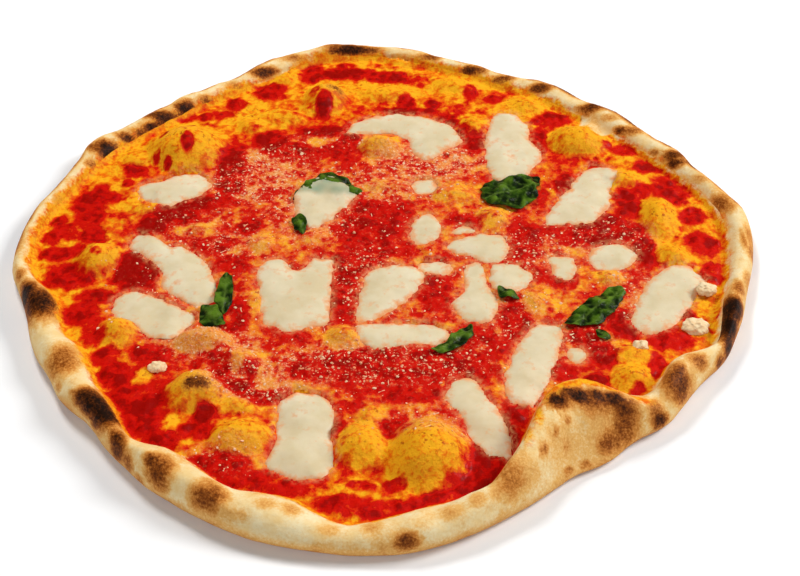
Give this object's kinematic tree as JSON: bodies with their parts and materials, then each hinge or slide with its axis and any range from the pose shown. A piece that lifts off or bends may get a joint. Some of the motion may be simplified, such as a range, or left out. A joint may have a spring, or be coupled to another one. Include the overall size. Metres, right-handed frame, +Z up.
{
  "type": "thin crust pizza",
  "caption": "Round thin crust pizza with a blistered rim folded up on one side, tomato sauce, melted mozzarella, basil leaves and grated hard cheese.",
  "frame": {"origin": "on the flat underside, below the middle of the pizza's outline", "axes": "+Z up through the toppings, +X to the right and -Y towards the viewer as the pizza is shown, with the folded bubble at the front right"},
  "size_m": [0.3386, 0.3413, 0.0243],
  "materials": {
    "crust": "baked dough, cream with golden and charred blisters",
    "tomato_sauce": "wet crushed tomato",
    "mozzarella": "soft melted cheese",
    "basil": "wilted glossy leaf",
    "hard_cheese": "dry grated crumbs"
  },
  "bodies": {
    "root": {"crust": "crust", "tomato_sauce": "tomato_sauce", "mozzarella_01": "mozzarella", "mozzarella_02": "mozzarella", "mozzarella_03": "mozzarella", "mozzarella_04": "mozzarella", "mozzarella_05": "mozzarella", "mozzarella_06": "mozzarella", "mozzarella_07": "mozzarella", "mozzarella_08": "mozzarella", "mozzarella_09": "mozzarella", "mozzarella_10": "mozzarella", "mozzarella_11": "mozzarella", "mozzarella_12": "mozzarella", "mozzarella_13": "mozzarella", "mozzarella_14": "mozzarella", "mozzarella_15": "mozzarella", "mozzarella_16": "mozzarella", "mozzarella_17": "mozzarella", "mozzarella_18": "mozzarella", "mozzarella_19": "mozzarella", "mozzarella_20": "mozzarella", "mozzarella_21": "mozzarella", "mozzarella_22": "mozzarella", "mozzarella_23": "mozzarella", "mozzarella_24": "mozzarella", "basil_01": "basil", "basil_02": "basil", "basil_03": "basil", "basil_04": "basil", "basil_05": "basil", "basil_06": "basil", "basil_07": "basil", "basil_08": "basil", "basil_09": "basil", "cheese_lump_01": "hard_cheese", "cheese_lump_02": "hard_cheese", "cheese_lump_03": "hard_cheese", "cheese_lump_04": "hard_cheese"}
  },
  "joints": []
}
